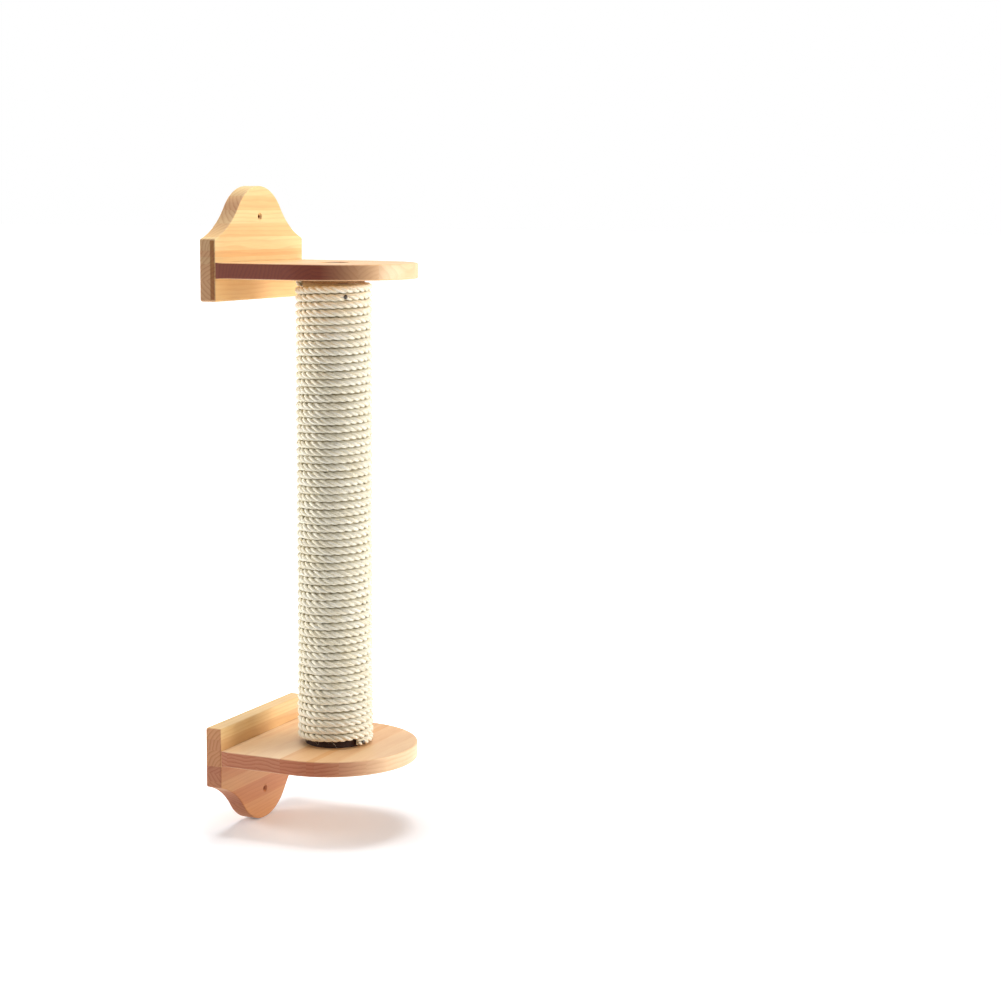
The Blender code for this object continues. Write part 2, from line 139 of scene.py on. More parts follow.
def skin(name, patches, finish, capped=False, uv=None, crease=30.0):
    """An object from patches of points, each tubes x rows x columns x 3: a row is a ring that meets
    itself, and the rows of a tube are joined in order. Points in the same place are welded, so that rings
    which two patches share close the skin. Where capped, each tube's two end rings get a flat face
    instead. uv has one column more than its patch, so that a pattern closes round the ring."""
    corners = np.concatenate([patch.reshape(-1, 3) for patch in patches])
    quads = []
    counted = 0
    for patch in patches:
        index = counted + np.arange(patch[..., 0].size).reshape(patch.shape[:3])
        counted += index.size
        lower, upper = index[:, :-1], index[:, 1:]
        ring = [lower, np.roll(lower, -1, 2), np.roll(upper, -1, 2), upper]
        quads.append(np.stack(ring, axis=-1).reshape(-1, 4))
    quads = np.concatenate(quads)
    a, b, c, d = (corners[quads[:, k]] for k in range(4))
    volume = np.einsum("ij,ij->", a, np.cross(b, c)) + np.einsum("ij,ij->", a, np.cross(c, d))
    caps = np.concatenate([index[:, 0, ::-1], index[:, -1]])
    if not capped:
        places = np.round(corners / (1e-4 * MM)).astype(np.int64)
        _, kept, same = np.unique(places, axis=0, return_index=True, return_inverse=True)
        corners, quads, caps = corners[kept], same.ravel()[quads], caps[:0]
    order = slice(None) if volume > 0 else slice(None, None, -1)
    quads, caps = quads[:, order], caps[:, order]
    starts = [np.arange(len(quads)) * 4, quads.size + np.arange(len(caps)) * caps.shape[1]]
    mesh = bpy.data.meshes.new(name)
    mesh.vertices.add(len(corners))
    mesh.vertices.foreach_set("co", corners.astype(np.float32).ravel())
    mesh.loops.add(quads.size + caps.size)
    mesh.loops.foreach_set("vertex_index", np.concatenate([quads.ravel(), caps.ravel()]))
    mesh.polygons.add(len(quads) + len(caps))
    mesh.polygons.foreach_set("loop_start", np.concatenate(starts))
    mesh.update(calc_edges=True)
    if uv is not None:
        near, far = uv[:, :-1], uv[:, 1:]
        at = np.stack([near[:, :, :-1], near[:, :, 1:], far[:, :, 1:], far[:, :, :-1]], axis=-2)
        at = at.reshape(-1, 4, 2)[:, order]
        flat = np.concatenate([at.reshape(-1, 2), np.zeros((caps.size, 2))])
        mesh.uv_layers.new(name="UVMap").uv.foreach_set("vector", flat.astype(np.float32).ravel())
    mesh.shade_smooth()
    mesh.set_sharp_from_angle(angle=math.radians(crease))
    mesh.materials.append(finish)
    return add_object(name, mesh)


def arc(centre, radius, start, stop, count, outward=1.0):
    """Points on a circle from one angle almost to another, each with its outward direction: rows of x, y,
    and the direction's x, y. The direction points to the centre where outward is -1, as on a hollow."""
    angle = np.linspace(start, stop, count, endpoint=False)
    ray = np.stack([np.cos(angle), np.sin(angle)], axis=1)
    return np.hstack([radius * ray + centre, outward * ray])


def straight(start, stop, outward, count):
    """Points along a straight edge from its start almost to its end, with its outward direction."""
    share = np.linspace(0.0, 1.0, count, endpoint=False)[:, None]
    place = (1 - share) * start + share * stop
    return np.hstack([place, np.tile(outward, (count, 1))])


def plate_rim(half, foot, shoulder):
    """The plate's outline as it is sawn, counter-clockwise from the middle of its foot: a straight foot
    and sides, and a crown arc that runs down into the shoulders through a hollow arc on each side. The
    hollow is tangent to the crown and has the shoulder's slope at the side. The left half mirrors the
    right one."""
    corner = PLATE_CORNER
    sideways, upwards = math.sin(SHOULDER_SLOPE), math.cos(SHOULDER_SLOPE)
    crown = BELL_HEIGHT - CROWN_RADIUS
    reach = CROWN_RADIUS + crown * upwards - half * sideways
    hollow = (half**2 + crown**2 - CROWN_RADIUS**2) / (2 * reach)
    centre = (half + hollow * sideways, shoulder + hollow * upwards)
    meeting = math.atan2(hollow * upwards - crown, centre[0])
    hollow_start = math.tau - math.acos((half - HOLLOW_START - centre[0]) / hollow)
    corner_z = shoulder - corner * (1 - sideways) / upwards
    crown_centre = (0, shoulder + crown)
    right = np.vstack(
        [
            straight((0, -foot), (CROWN_RADIUS / 2, -foot), (0, -1), FOOT_STEPS),
            straight((CROWN_RADIUS / 2, -foot), (half - corner, -foot), (0, -1), OUTER_FOOT_STEPS),
            arc((half - corner, corner - foot), corner, -math.pi / 2, 0, CORNER_STEPS),
            straight((half, corner - foot), (half, corner_z), (1, 0), SIDE_STEPS),
            arc((half - corner, corner_z), corner, 0, math.pi / 2 - SHOULDER_SLOPE, CORNER_STEPS),
            arc(centre, hollow, hollow_start, math.pi + meeting, HOLLOW_STEPS, -1.0),
            arc(crown_centre, CROWN_RADIUS, meeting, math.pi / 3, CROWN_SIDE_STEPS),
            arc(crown_centre, CROWN_RADIUS, math.pi / 3, math.pi / 2, CROWN_STEPS),
        ]
    )
    top = [[0, shoulder + BELL_HEIGHT, 0, 1]]
    return np.vstack([right, top, right[:0:-1] * [-1, 1, -1, 1]])


def edge_strip(rim, thickness, radius, ease=1.0):
    """A board's outer edge as rings, from its high face over the side to its low one at height 0, with a
    quarter circle at each: the rim moved in by r(1 - sin t) and down by r(1 - cos t). ease scales both
    along the rim, so an edge can be sharper there."""
    turn = np.linspace(0.0, math.pi / 2, ROUND_STEPS)
    inset = radius * (1 - np.sin(turn))
    drop = radius * (1 - np.cos(turn))
    inset = np.concatenate([[radius + SUPPORT], inset, [0, 0], inset[::-1], [radius + SUPPORT]])
    high = np.concatenate([[0], drop, [radius + SUPPORT]])
    down = np.concatenate([high, -high[::-1]])[:, None] * ease
    level = np.where(np.arange(len(inset)) < len(high), thickness, 0.0)[:, None] - down
    flat = rim[:, :2] - rim[:, 2:] * (inset[:, None] * ease)[..., None]
    return np.concatenate([flat, (level + 0 * flat[..., 0])[..., None]], axis=2)


def bored(outline, hub, rows):
    """A part of a board with a bore through it, as rings from the low face through the bore to the high
    one. Each row is a radius about the hub and a height. A radius of 0 stands for the outline."""
    ray = outline - hub
    ray /= np.linalg.norm(ray, axis=1)[:, None]
    radius, height = np.array(rows).T[:, :, None, None]
    flat = np.where(radius > 0, ray * radius + hub, outline)
    return np.concatenate([flat, height + 0 * flat[..., :1]], axis=2)


def edge_glued_pine(name, axis, joints, tones, pale, warm, end_grain, end_span, seed, front_shade=None):
    """Planed and oiled pine, glued up from narrow staves that run along X. axis is the one across the
    staves, joints are where one stave meets the next, and a tone from 0 to 1 takes each from pale to warm.
    Growth rings circle each stave's own pith, so they draw lines on its faces and arcs on its ends.
    end_span is how far a surface faces along the staves where its end grain begins and where it is full, and
    front_shade is where a strip of painted shade begins on the ends, getting darker towards the front face.
    To the eye: warm bands with fine darker lines, a satin surface, and darker, duller ends where the pores
    are cut across."""
    material, tree = new_material(name)
    coordinates = add_node(tree, "TexCoord")
    spot = coordinates.outputs["Object"]
    place = add_node(tree, "SeparateXYZ", {0: spot})
    facing = add_node(tree, "SeparateXYZ", {0: coordinates.outputs["Normal"]})
    low, high = joints[0], joints[-1]
    across = place.outputs[axis]
    through = place.outputs["Z" if axis == "Y" else "Y"]

    # Which stave a point is in: its tone in red, and a number of its own in green
    spread = add_node(tree, "MapRange", {"Value": across, "From Min": low, "From Max": high})
    bands = [
        ((start - low) / (high - low), (tone, (order + 0.5) / len(tones), 0.0, 1.0))
        for order, (start, tone) in enumerate(zip(joints[:-1], tones))
    ]
    stave = add_node(tree, "ValToRGB", {"Fac": spread}, bands)
    stave.color_ramp.interpolation = "CONSTANT"
    stave = add_node(tree, "SeparateColor", {0: stave})
    number = add_node(
        tree, "Math", {0: stave.outputs["Green"], 1: STAVE_STRIDE, 2: float(seed)}, operation="MULTIPLY_ADD"
    )
    chance = add_node(tree, "TexWhiteNoise", {"W": number}, noise_dimensions="1D")
    odds = add_node(tree, "SeparateColor", {0: chance.outputs["Color"]})

    # Growth rings about a pith in front of the wall or below the origin, bent by waves of 111 by 22 mm
    slow = add_node(tree, "Mapping", {"Vector": spot, "Scale": (9.0, 45.0, 45.0)})
    bend = add_node(
        tree, "TexNoise", {"Vector": slow, "W": number, "Scale": 1.0, "Detail": 2.0}, noise_dimensions="4D"
    )
    farthest = PITH_BEYOND * (high - low) - low
    span = (1 + 2 * PITH_BEYOND) * (low - high)
    aside = add_node(tree, "Math", {0: odds.outputs["Red"], 1: span, 2: farthest}, operation="MULTIPLY_ADD")
    aside = add_node(tree, "Math", {0: across, 1: aside}, operation="ADD")
    below = add_node(
        tree, "Math", {0: odds.outputs["Green"], 1: PITH_SPREAD, 2: PITH_NEAREST}, operation="MULTIPLY_ADD"
    )
    below = add_node(tree, "Math", {0: through, 1: below}, operation="ADD")
    radius = add_node(tree, "CombineXYZ", {"X": aside, "Y": below})
    radius = add_node(tree, "VectorMath", {0: radius}, operation="LENGTH")
    ring = add_node(
        tree, "Math", {0: bend, 1: RING_BEND, 2: radius.outputs["Value"]}, operation="MULTIPLY_ADD"
    )
    ring = add_node(tree, "Math", {0: ring, 1: RING_SPACING}, operation="DIVIDE")
    ring = add_node(tree, "Math", {0: ring}, operation="FRACT")
    late_wood = add_node(
        tree,
        "ValToRGB",
        {"Fac": ring},
        [(0.0, "#000000"), (0.45, (0.12, 0.12, 0.12, 1)), (0.86, "#ffffff"), (1.0, "#000000")],
    )

    # Fibres and pores: streaks 25 mm long and 0.4 mm wide, and clouds 48 mm long and 10 mm wide
    per_streak = (1 / (25 * MM), 1 / (0.4 * MM), 1 / (0.4 * MM))
    fine = add_node(tree, "Mapping", {"Vector": spot, "Scale": per_streak})
    streak = add_node(tree, "TexNoise", {"Vector": fine, "Scale": 1.0, "Detail": 3.0})
    cloud = add_node(tree, "TexNoise", {"Vector": slow, "Scale": 2.3, "Detail": 3.0, "Roughness": 0.6})

    # The layers of colour, one over the other
    colour = add_node(tree, "Mix", {"Factor": stave.outputs["Red"], "A": pale, "B": warm}, data_type="RGBA")
    for layer, strength, start, shade in (
        (late_wood, 0.17, 0.0, "#cf9456"), (streak, 0.50, -0.13, "#dcbe94"), (cloud, 0.35, -0.03, "#e6bf92")
    ):
        share = add_node(tree, "Math", {0: layer, 1: strength, 2: start}, operation="MULTIPLY_ADD")
        colour = add_node(tree, "Mix", {"Factor": share, "A": colour, "B": shade}, **LAID_OVER)

    # Where the surface faces along the staves, end grain shows: darker, with strong rings and 0.7 mm pores
    sideways = add_node(tree, "Math", {0: facing.outputs["X"]}, operation="ABSOLUTE")
    begins, full = end_span
    ends = add_node(tree, "MapRange", {"Value": sideways, "From Min": begins, "From Max": full})
    pores = add_node(tree, "TexNoise", {"Vector": spot, "Scale": 1.4 / MM})
    pores = add_node(tree, "Math", {0: pores, 1: late_wood, 2: 0.1}, operation="MULTIPLY_ADD")
    cut_across = add_node(tree, "Mix", {"Factor": pores, "A": end_grain, "B": "#d8b898"}, **LAID_OVER)
    tint = add_node(tree, "Mix", {"Factor": 0.8, "A": cut_across, "B": colour}, **LAID_OVER)
    # Painted shade: a strip on the square ends, darker towards the front face, for the shadow on the rounded
    # front corner
    if front_shade is not None:
        strip = add_node(
            tree, "MapRange", {"Value": through, "From Min": front_shade, "From Max": front_shade - FRONT_SHADE_EDGE}
        )
        begins, full = FRONT_SHADE_FACING
        square = add_node(tree, "MapRange", {"Value": sideways, "From Min": begins, "From Max": full})
        strip = add_node(tree, "Math", {0: strip, 1: square}, operation="MULTIPLY")
        tint = add_node(tree, "Mix", {"Factor": strip, "A": tint, "B": "#bd9a50"}, **LAID_OVER)
    colour = add_node(tree, "Mix", {"Factor": ends, "A": colour, "B": tint}, data_type="RGBA")
    rough = add_node(tree, "Math", {0: streak, 1: 0.18, 2: 0.36}, operation="MULTIPLY_ADD")
    rough = add_node(tree, "Math", {0: ends, 1: 0.2, 2: rough}, operation="MULTIPLY_ADD")
    relief = add_node(tree, "Math", {0: late_wood, 1: 0.6, 2: streak}, operation="MULTIPLY_ADD")
    bump = add_node(tree, "Bump", {"Height": relief, "Strength": 0.25, "Distance": 0.15 * MM})
    give_surface(tree, {"Base Color": colour, "Roughness": rough, "IOR": 1.5, "Normal": bump})
    return material


def build_plate(name, node, level, turned_over, finish):
    """A wall plate in its place: worked out from the shelf's level outwards, with its height as the
    distance from the wall, and turned over where the bell hangs down. Its flat faces are three fields side
    by side, each with its own bore in the middle, between an edge strip that runs all the way round."""
    low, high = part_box(node)
    screw_low, screw_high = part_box(node.split("_")[0] + "_right_shelf_screw")
    screw_x = abs(screw_low[0] + screw_high[0]) / 2
    thick = high[1] - low[1]
    way = -1 if turned_over else 1
    outer = way * ((low[2] if turned_over else high[2]) - level)
    foot = -way * ((high[2] if turned_over else low[2]) - level)
    rim = plate_rim((high[0] - low[0]) / 2, foot, outer - BELL_HEIGHT)
    strip = edge_strip(rim, thick, PLATE_EDGE_ROUND)

    flat = strip[0, :, :2]
    last = len(rim)
    near, far = FOOT_STEPS, last // 2 - CROWN_STEPS
    seam = np.linspace(flat[near], flat[far], SEAM_STEPS)[1:-1]
    left_seam = np.linspace(flat[last - near], flat[last - far], SEAM_STEPS)[1:-1]
    right_field = np.vstack([flat[near : far + 1], seam[::-1]])
    left_field = np.vstack([flat[last - far : last - near + 1], left_seam])
    middle_field = np.vstack(
        [flat[far : last - far + 1], left_seam[::-1], flat[last - near :], flat[: near + 1], seam]
    )
    wall_hole = [
        (0, 0),
        (WALL_HOLE_RADIUS + SUPPORT, 0),
        (WALL_HOLE_RADIUS, 0),
        (WALL_HOLE_RADIUS, thick - WALL_HOLE_MOUTH + WALL_HOLE_RADIUS),
        (WALL_HOLE_MOUTH, thick),
        (WALL_HOLE_MOUTH + SUPPORT, thick),
        (0, thick),
    ]
    screw_hole = [
        (0, 0),
        (SCREW_HOLE_MOUTH + SUPPORT, 0),
        (SCREW_HOLE_MOUTH, 0),
        (SCREW_HOLE_MOUTH, SCREW_MOUTH_DEPTH),
        (SCREW_HOLE_RADIUS, SCREW_MOUTH_DEPTH + SCREW_HOLE_MOUTH - SCREW_HOLE_RADIUS),
        (SCREW_HOLE_RADIUS, thick),
        (SCREW_HOLE_RADIUS + SUPPORT, thick),
        (0, thick),
    ]
    patches = [
        strip,
        bored(middle_field, (0.0, outer - WALL_HOLE_FROM_CROWN), wall_hole),
        bored(right_field, (screw_x, 0.0), screw_hole),
        bored(left_field, (-screw_x, 0.0), screw_hole),
    ]
    placed = [
        np.stack([way * p[..., 0], high[1] - p[..., 2], level + way * p[..., 1]], axis=-1)[None]
        for p in patches
    ]
    plate = skin(name, placed, finish)
    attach(plate, "root")
    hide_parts(node)


# The staves below each shelf are toned warmer and darker: partly the wood's own tone, partly painted shade
# where the shelf shades the plate
UPPER_PLATE_JOINTS = np.array([-36, -12, 7, 15, 22, 37, 52, 67, 83, 96]) * MM + UPPER_LEVEL
UPPER_PLATE_TONES = (0.65, 0.7, 0.1, 0.75, 0.05, 0.6, 0.1, 0.7, 0.2)
LOWER_PLATE_JOINTS = LOWER_LEVEL - np.array([96, 68, 45, 28, 18.5, 10, -9, -22, -36]) * MM
LOWER_PLATE_TONES = (0.85, 1.0, 0.75, 0.9, 1.0, 0.3, 0.35, 0.05)
upper_plate_pine = edge_glued_pine(
    "pine_upper_plate", "Z", UPPER_PLATE_JOINTS, UPPER_PLATE_TONES, pale="#fbe3a4", warm="#f4c47c",
    end_grain="#cdb9aa", end_span=(0.25, 0.75), seed=3, front_shade=-13.0 * MM,
)
# The lower plate's warm colour is darker, partly painted shade for its bell in the shelf's shadow
lower_plate_pine = edge_glued_pine(
    "pine_lower_plate", "Z", LOWER_PLATE_JOINTS, LOWER_PLATE_TONES, pale="#f6d699", warm="#cd8955",
    end_grain="#d6b096", end_span=(0.25, 0.75), seed=11,
)
build_plate("upper_plate_board", "upper_wall_plate", UPPER_LEVEL, False, upper_plate_pine)
build_plate("lower_plate_board", "lower_wall_plate", LOWER_LEVEL, True, lower_plate_pine)

# Shelves: two D-shaped boards of the same edge-glued pine, 18 mm thick, square at the back where they butt
# on the plate and rounded over elsewhere. A flat-bottomed recess takes the washer and the bolt's head.
SHELF_EDGE_ROUND = 2.0 * MM
SHELF_BACK_CORNER = 0.8 * MM
BACK_EASE = 0.15
ROUND_RUN_OUT = 8.0 * MM  # over this distance the edge grows sharp towards the back
RECESS_RADIUS = 18.5 * MM
RECESS_EASE = 0.3 * MM
RECESS_CLEARANCE = 0.3 * MM
BOLT_HOLE_RADIUS = 4.3 * MM
tube_low, tube_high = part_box("post_core_tube")
POST_X = (tube_low[0] + tube_high[0]) / 2
POST_Y = (tube_low[1] + tube_high[1]) / 2
TUBE_RADIUS = (tube_high[0] - tube_low[0]) / 2
SHELF_SIDE_STEPS = 22
SHELF_CORNER_STEPS = 6
SHELF_BACK_STEPS = 20
SHELF_FRONT_STEPS = 130


def shelf_rim(half, back, front):
    """The shelf's outline: a straight back and sides, and a half circle in front."""
    corner = SHELF_BACK_CORNER
    middle = front + half
    right = np.vstack(
        [
            straight((half, middle), (half, back - corner), (1, 0), SHELF_SIDE_STEPS),
            arc((half - corner, back - corner), corner, 0, math.pi / 2, SHELF_CORNER_STEPS),
            straight((half - corner, back), (0, back), (0, 1), SHELF_BACK_STEPS),
        ]
    )
    left = right[:0:-1] * [-1, 1, -1, 1]
    round_front = arc((0, middle), half, math.pi, math.tau, SHELF_FRONT_STEPS)
    return np.vstack([right, [[0, back, 0, 1]], left, round_front])


def build_shelf(name, node, washer_node, turned_over, finish):
    """A shelf in its place, with its recess on top, or underneath where it is turned over. The recess goes
    down to a clearance below the washer."""
    low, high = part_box(node)
    washer_low, washer_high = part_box(washer_node)
    way = -1 if turned_over else 1
    thick = high[2] - low[2]
    base = high[2] if turned_over else low[2]
    floor = way * ((washer_high[2] if turned_over else washer_low[2]) - base) - RECESS_CLEARANCE
    rim = shelf_rim((high[0] - low[0]) / 2, high[1], low[1])
    ease = np.clip((high[1] - rim[:, 1]) / ROUND_RUN_OUT, BACK_EASE, 1.0)
    strip = edge_strip(rim, thick, SHELF_EDGE_ROUND, ease)
    rows = [
        (0, 0),
        (BOLT_HOLE_RADIUS + SUPPORT, 0),
        (BOLT_HOLE_RADIUS, 0),
        (BOLT_HOLE_RADIUS, floor),
        (BOLT_HOLE_RADIUS + SUPPORT, floor),
        (RECESS_RADIUS - SUPPORT, floor),
        (RECESS_RADIUS, floor),
        (RECESS_RADIUS, thick - RECESS_EASE),
        (RECESS_RADIUS + RECESS_EASE, thick),
        (RECESS_RADIUS + RECESS_EASE + SUPPORT, thick),
        (0, thick),
    ]
    patches = [strip, bored(strip[0, :, :2], (POST_X, POST_Y), rows)]
    placed = [np.stack([p[..., 0], p[..., 1], base + way * p[..., 2]], axis=-1)[None] for p in patches]
    shelf = skin(name, placed, finish)
    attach(shelf, "root")
    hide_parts(node)


UPPER_SHELF_JOINTS = np.array([-213, -200, -185, -162, -140, -104, -74, -40, -20]) * MM
UPPER_SHELF_TONES = (0.4, 0.65, 0.7, 0.6, 0.8, 0.55, 0.8, 0.7)
LOWER_SHELF_JOINTS = np.array([-213, -190, -166, -140, -131, -98, -66, -29, -20]) * MM
LOWER_SHELF_TONES = (0.5, 0.55, 0.75, 1.0, 0.8, 0.3, 0.4, 0.2)
upper_shelf_pine = edge_glued_pine(
    "pine_upper_shelf", "Y", UPPER_SHELF_JOINTS, UPPER_SHELF_TONES, pale="#fae2b8", warm="#efb97c",
    end_grain="#7c3e20", end_span=(0.40, 0.93), seed=21,
)
lower_shelf_pine = edge_glued_pine(
    "pine_lower_shelf", "Y", LOWER_SHELF_JOINTS, LOWER_SHELF_TONES, pale="#fae4c2", warm="#eebc82",
    end_grain="#c8917a", end_span=(0.40, 0.93), seed=34,
)
build_shelf("upper_shelf_board", "upper_shelf", "upper_washer", False, upper_shelf_pine)
build_shelf("lower_shelf_board", "lower_shelf", "lower_washer", True, lower_shelf_pine)

# Post core: a tube of brown kraft paper, wound on a slant from 100 mm strip and glued, with sawn ends.
# Only a thin ring of it shows above and below the winding. To the eye: matt brown with short fibres, with
# painted shade at the lower end that is darkest on the bare ring below the winding, and pale under the
# winding, where it shows only between the turns.
TUBE_WALL = 4.0 * MM
TUBE_END_ROUND = 0.3 * MM
ROUND_COLUMNS = 96
WOUND_FROM = 0.018  # as shares of the tube's height
WOUND_TO = 0.990
PALE_EDGE = 0.004
LOW_SHADE_TO = 0.030
SEAM_FROM = 0.985  # as a share of the strip's width
kraft, tree = new_material("wound_kraft_paper")
kraft_place = add_node(tree, "TexCoord").outputs["Object"]
# Fibres 1.1 mm long, and a seam of the strip every 180 mm up the tube
kraft_fibres = add_node(tree, "TexNoise", {"Vector": kraft_place, "Scale": 0.9 / MM, "Detail": 4.0})
kraft_colour = add_node(
    tree, "ValToRGB", {"Fac": kraft_fibres}, [(0.3, "#785436"), (0.55, "#9c744a"), (0.75, "#b48a5c")]
)
kraft_strip = add_node(
    tree, "TexWave", {"Vector": kraft_place, "Scale": 3.5}, bands_direction="DIAGONAL", wave_profile="SAW"
)
kraft_edge = add_node(tree, "Math", {0: kraft_strip.outputs["Fac"], 1: SEAM_FROM}, operation="GREATER_THAN")
kraft_lined = add_node(
    tree, "Mix", {"Factor": kraft_edge, "A": kraft_colour, "B": "#6d4a2e"}, data_type="RGBA"
)
kraft_height = add_node(tree, "SeparateXYZ", {0: kraft_place})
kraft_height = add_node(
    tree, "MapRange", {"Value": kraft_height.outputs["Z"], "From Min": tube_low[2], "From Max": tube_high[2]}
)
# Paler under the winding, where the tube shows only between the turns
kraft_pale_band = add_node(
    tree,
    "ValToRGB",
    {"Fac": kraft_height},
    [
        (WOUND_FROM, "#000000"),
        (WOUND_FROM + PALE_EDGE, "#ffffff"),
        (WOUND_TO - PALE_EDGE, "#ffffff"),
        (WOUND_TO, "#000000"),
    ],
)
# Painted shade: darker towards the tube's lower end, and full on the bare ring below the winding, for the
# shadowed gap under the rope
kraft_low_shade = add_node(tree, "MapRange", {"Value": kraft_height, "From Min": LOW_SHADE_TO, "From Max": WOUND_FROM})
kraft_paled = add_node(
    tree, "Mix", {"Factor": kraft_pale_band, "A": kraft_lined, "B": "#dccba2"}, data_type="RGBA"
)
kraft_shaded = add_node(tree, "Mix", {"Factor": kraft_low_shade, "A": kraft_paled, "B": "#4f3220"}, **LAID_OVER)
kraft_bump = add_node(tree, "Bump", {"Height": kraft_fibres, "Strength": 0.4, "Distance": 0.1 * MM})
give_surface(tree, {"Base Color": kraft_shaded, "Roughness": 0.85, "Normal": kraft_bump})


def turned(profile, columns=ROUND_COLUMNS, flats=None):
    """A turned shape about the third axis: each (radius, height) of the profile is a ring. Where flats is
    1 for a ring, it is a hexagon whose flats touch that radius, as a socket's wall is."""
    radius, height = np.array(profile).T[:, :, None]
    angle = np.arange(columns) * math.tau / columns
    hexagon = 1.0 / np.cos((angle + math.pi / 6) % (math.pi / 3) - math.pi / 6)
    share = np.zeros(len(profile)) if flats is None else np.array(flats)
    reach = radius * (1 + share[:, None] * (hexagon - 1))
    rings = [reach * np.cos(angle), reach * np.sin(angle), height + 0 * angle]
    return np.stack(rings, axis=-1)


def on_post(flat, level, way):
    """A turned shape on the post's axis as one patch, going up or down from a level."""
    middle = [POST_X + way * flat[..., 0], POST_Y + flat[..., 1], level + way * flat[..., 2]]
    return [np.stack(middle, axis=-1)[None]]


tube_length = tube_high[2] - tube_low[2]
tube_profile = [
    (TUBE_RADIUS - TUBE_WALL, 0.0),
    (TUBE_RADIUS - TUBE_END_ROUND, 0.0),
    (TUBE_RADIUS, TUBE_END_ROUND),
    (TUBE_RADIUS, tube_length - TUBE_END_ROUND),
    (TUBE_RADIUS - TUBE_END_ROUND, tube_length),
    (TUBE_RADIUS - TUBE_WALL, tube_length),
    (TUBE_RADIUS - TUBE_WALL, 0.0),
]
core = skin("post_core_kraft", on_post(turned(tube_profile), tube_low[2], 1), kraft)
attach(core, "root")
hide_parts("post_core_tube")

# End plugs: plywood discs glued into the ends of the tube. Their layers lie across the post's axis, 1.8 mm
# each, turn about light and dark, with grain 2.5 mm across.
PLY_THICKNESS = 1.8 * MM
plywood, tree = new_material("birch_plywood")
ply_place = add_node(tree, "TexCoord").outputs["Object"]
ply_layer = add_node(tree, "SeparateXYZ", {0: ply_place})
ply_layer = add_node(tree, "Math", {0: ply_layer.outputs["Z"], 1: PLY_THICKNESS}, operation="DIVIDE")
ply_layer = add_node(tree, "Math", {0: ply_layer, 1: 1.0}, operation="PINGPONG")
ply_grain = add_node(tree, "TexNoise", {"Vector": ply_place, "Scale": 0.4 / MM, "Detail": 3.0})
ply_mix = add_node(tree, "Math", {0: ply_grain, 1: 0.3, 2: ply_layer}, operation="MULTIPLY_ADD")
ply_colour = add_node(
    tree, "ValToRGB", {"Fac": ply_mix}, [(0.2, "#9a774e"), (0.5, "#c9a878"), (1.0, "#d8bc90")]
)
give_surface(tree, {"Base Color": ply_colour, "Roughness": 0.7})
for end in ("upper", "lower"):
    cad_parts[f"{end}_end_plug"].data.materials.clear()
    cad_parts[f"{end}_end_plug"].data.materials.append(plywood)

# Washers, bolts and insert nuts: turned steel with bright zinc plate. The bolt has a flat head with a 5 mm
# hexagon socket. To the eye: a cool grey with cloudy patches of 4 mm and turning marks 0.35 mm apart.
BOLT_RADIUS = 4.0 * MM
BOLT_POINT_RADIUS = 3.2 * MM
BOLT_HEAD_THICKNESS = 2.7 * MM
BOLT_SOCKET_FLAT = 2.5 * MM
BOLT_SOCKET_DEPTH = 1.8 * MM
WASHER_ROLL = 0.35 * MM
WASHER_ROLL_STEPS = 5
zinc, tree = new_material("zinc_plated_steel")
zinc_place = add_node(tree, "TexCoord").outputs["Object"]
zinc_patches = add_node(tree, "TexNoise", {"Vector": zinc_place, "Scale": 0.26 / MM, "Detail": 4.0})
zinc_colour = add_node(tree, "ValToRGB", {"Fac": zinc_patches}, [(0.3, "#a9adb2"), (0.7, "#cfd2d4")])
zinc_rough = add_node(tree, "Math", {0: zinc_patches, 1: 0.25, 2: 0.22}, operation="MULTIPLY_ADD")
zinc_centred = add_node(tree, "Mapping", {"Vector": zinc_place, "Location": (-POST_X, -POST_Y, 0.0)})
zinc_marks = add_node(
    tree,
    "TexWave",
    {"Vector": zinc_centred, "Scale": 900.0, "Distortion": 1.5, "Detail": 2.0},
    wave_type="RINGS",
    rings_direction="Z",
)
zinc_bump = add_node(
    tree, "Bump", {"Height": zinc_marks.outputs["Fac"], "Strength": 0.12, "Distance": 0.05 * MM}
)
give_surface(
    tree, {"Base Color": zinc_colour, "Metallic": 1.0, "Roughness": zinc_rough, "Normal": zinc_bump}
)

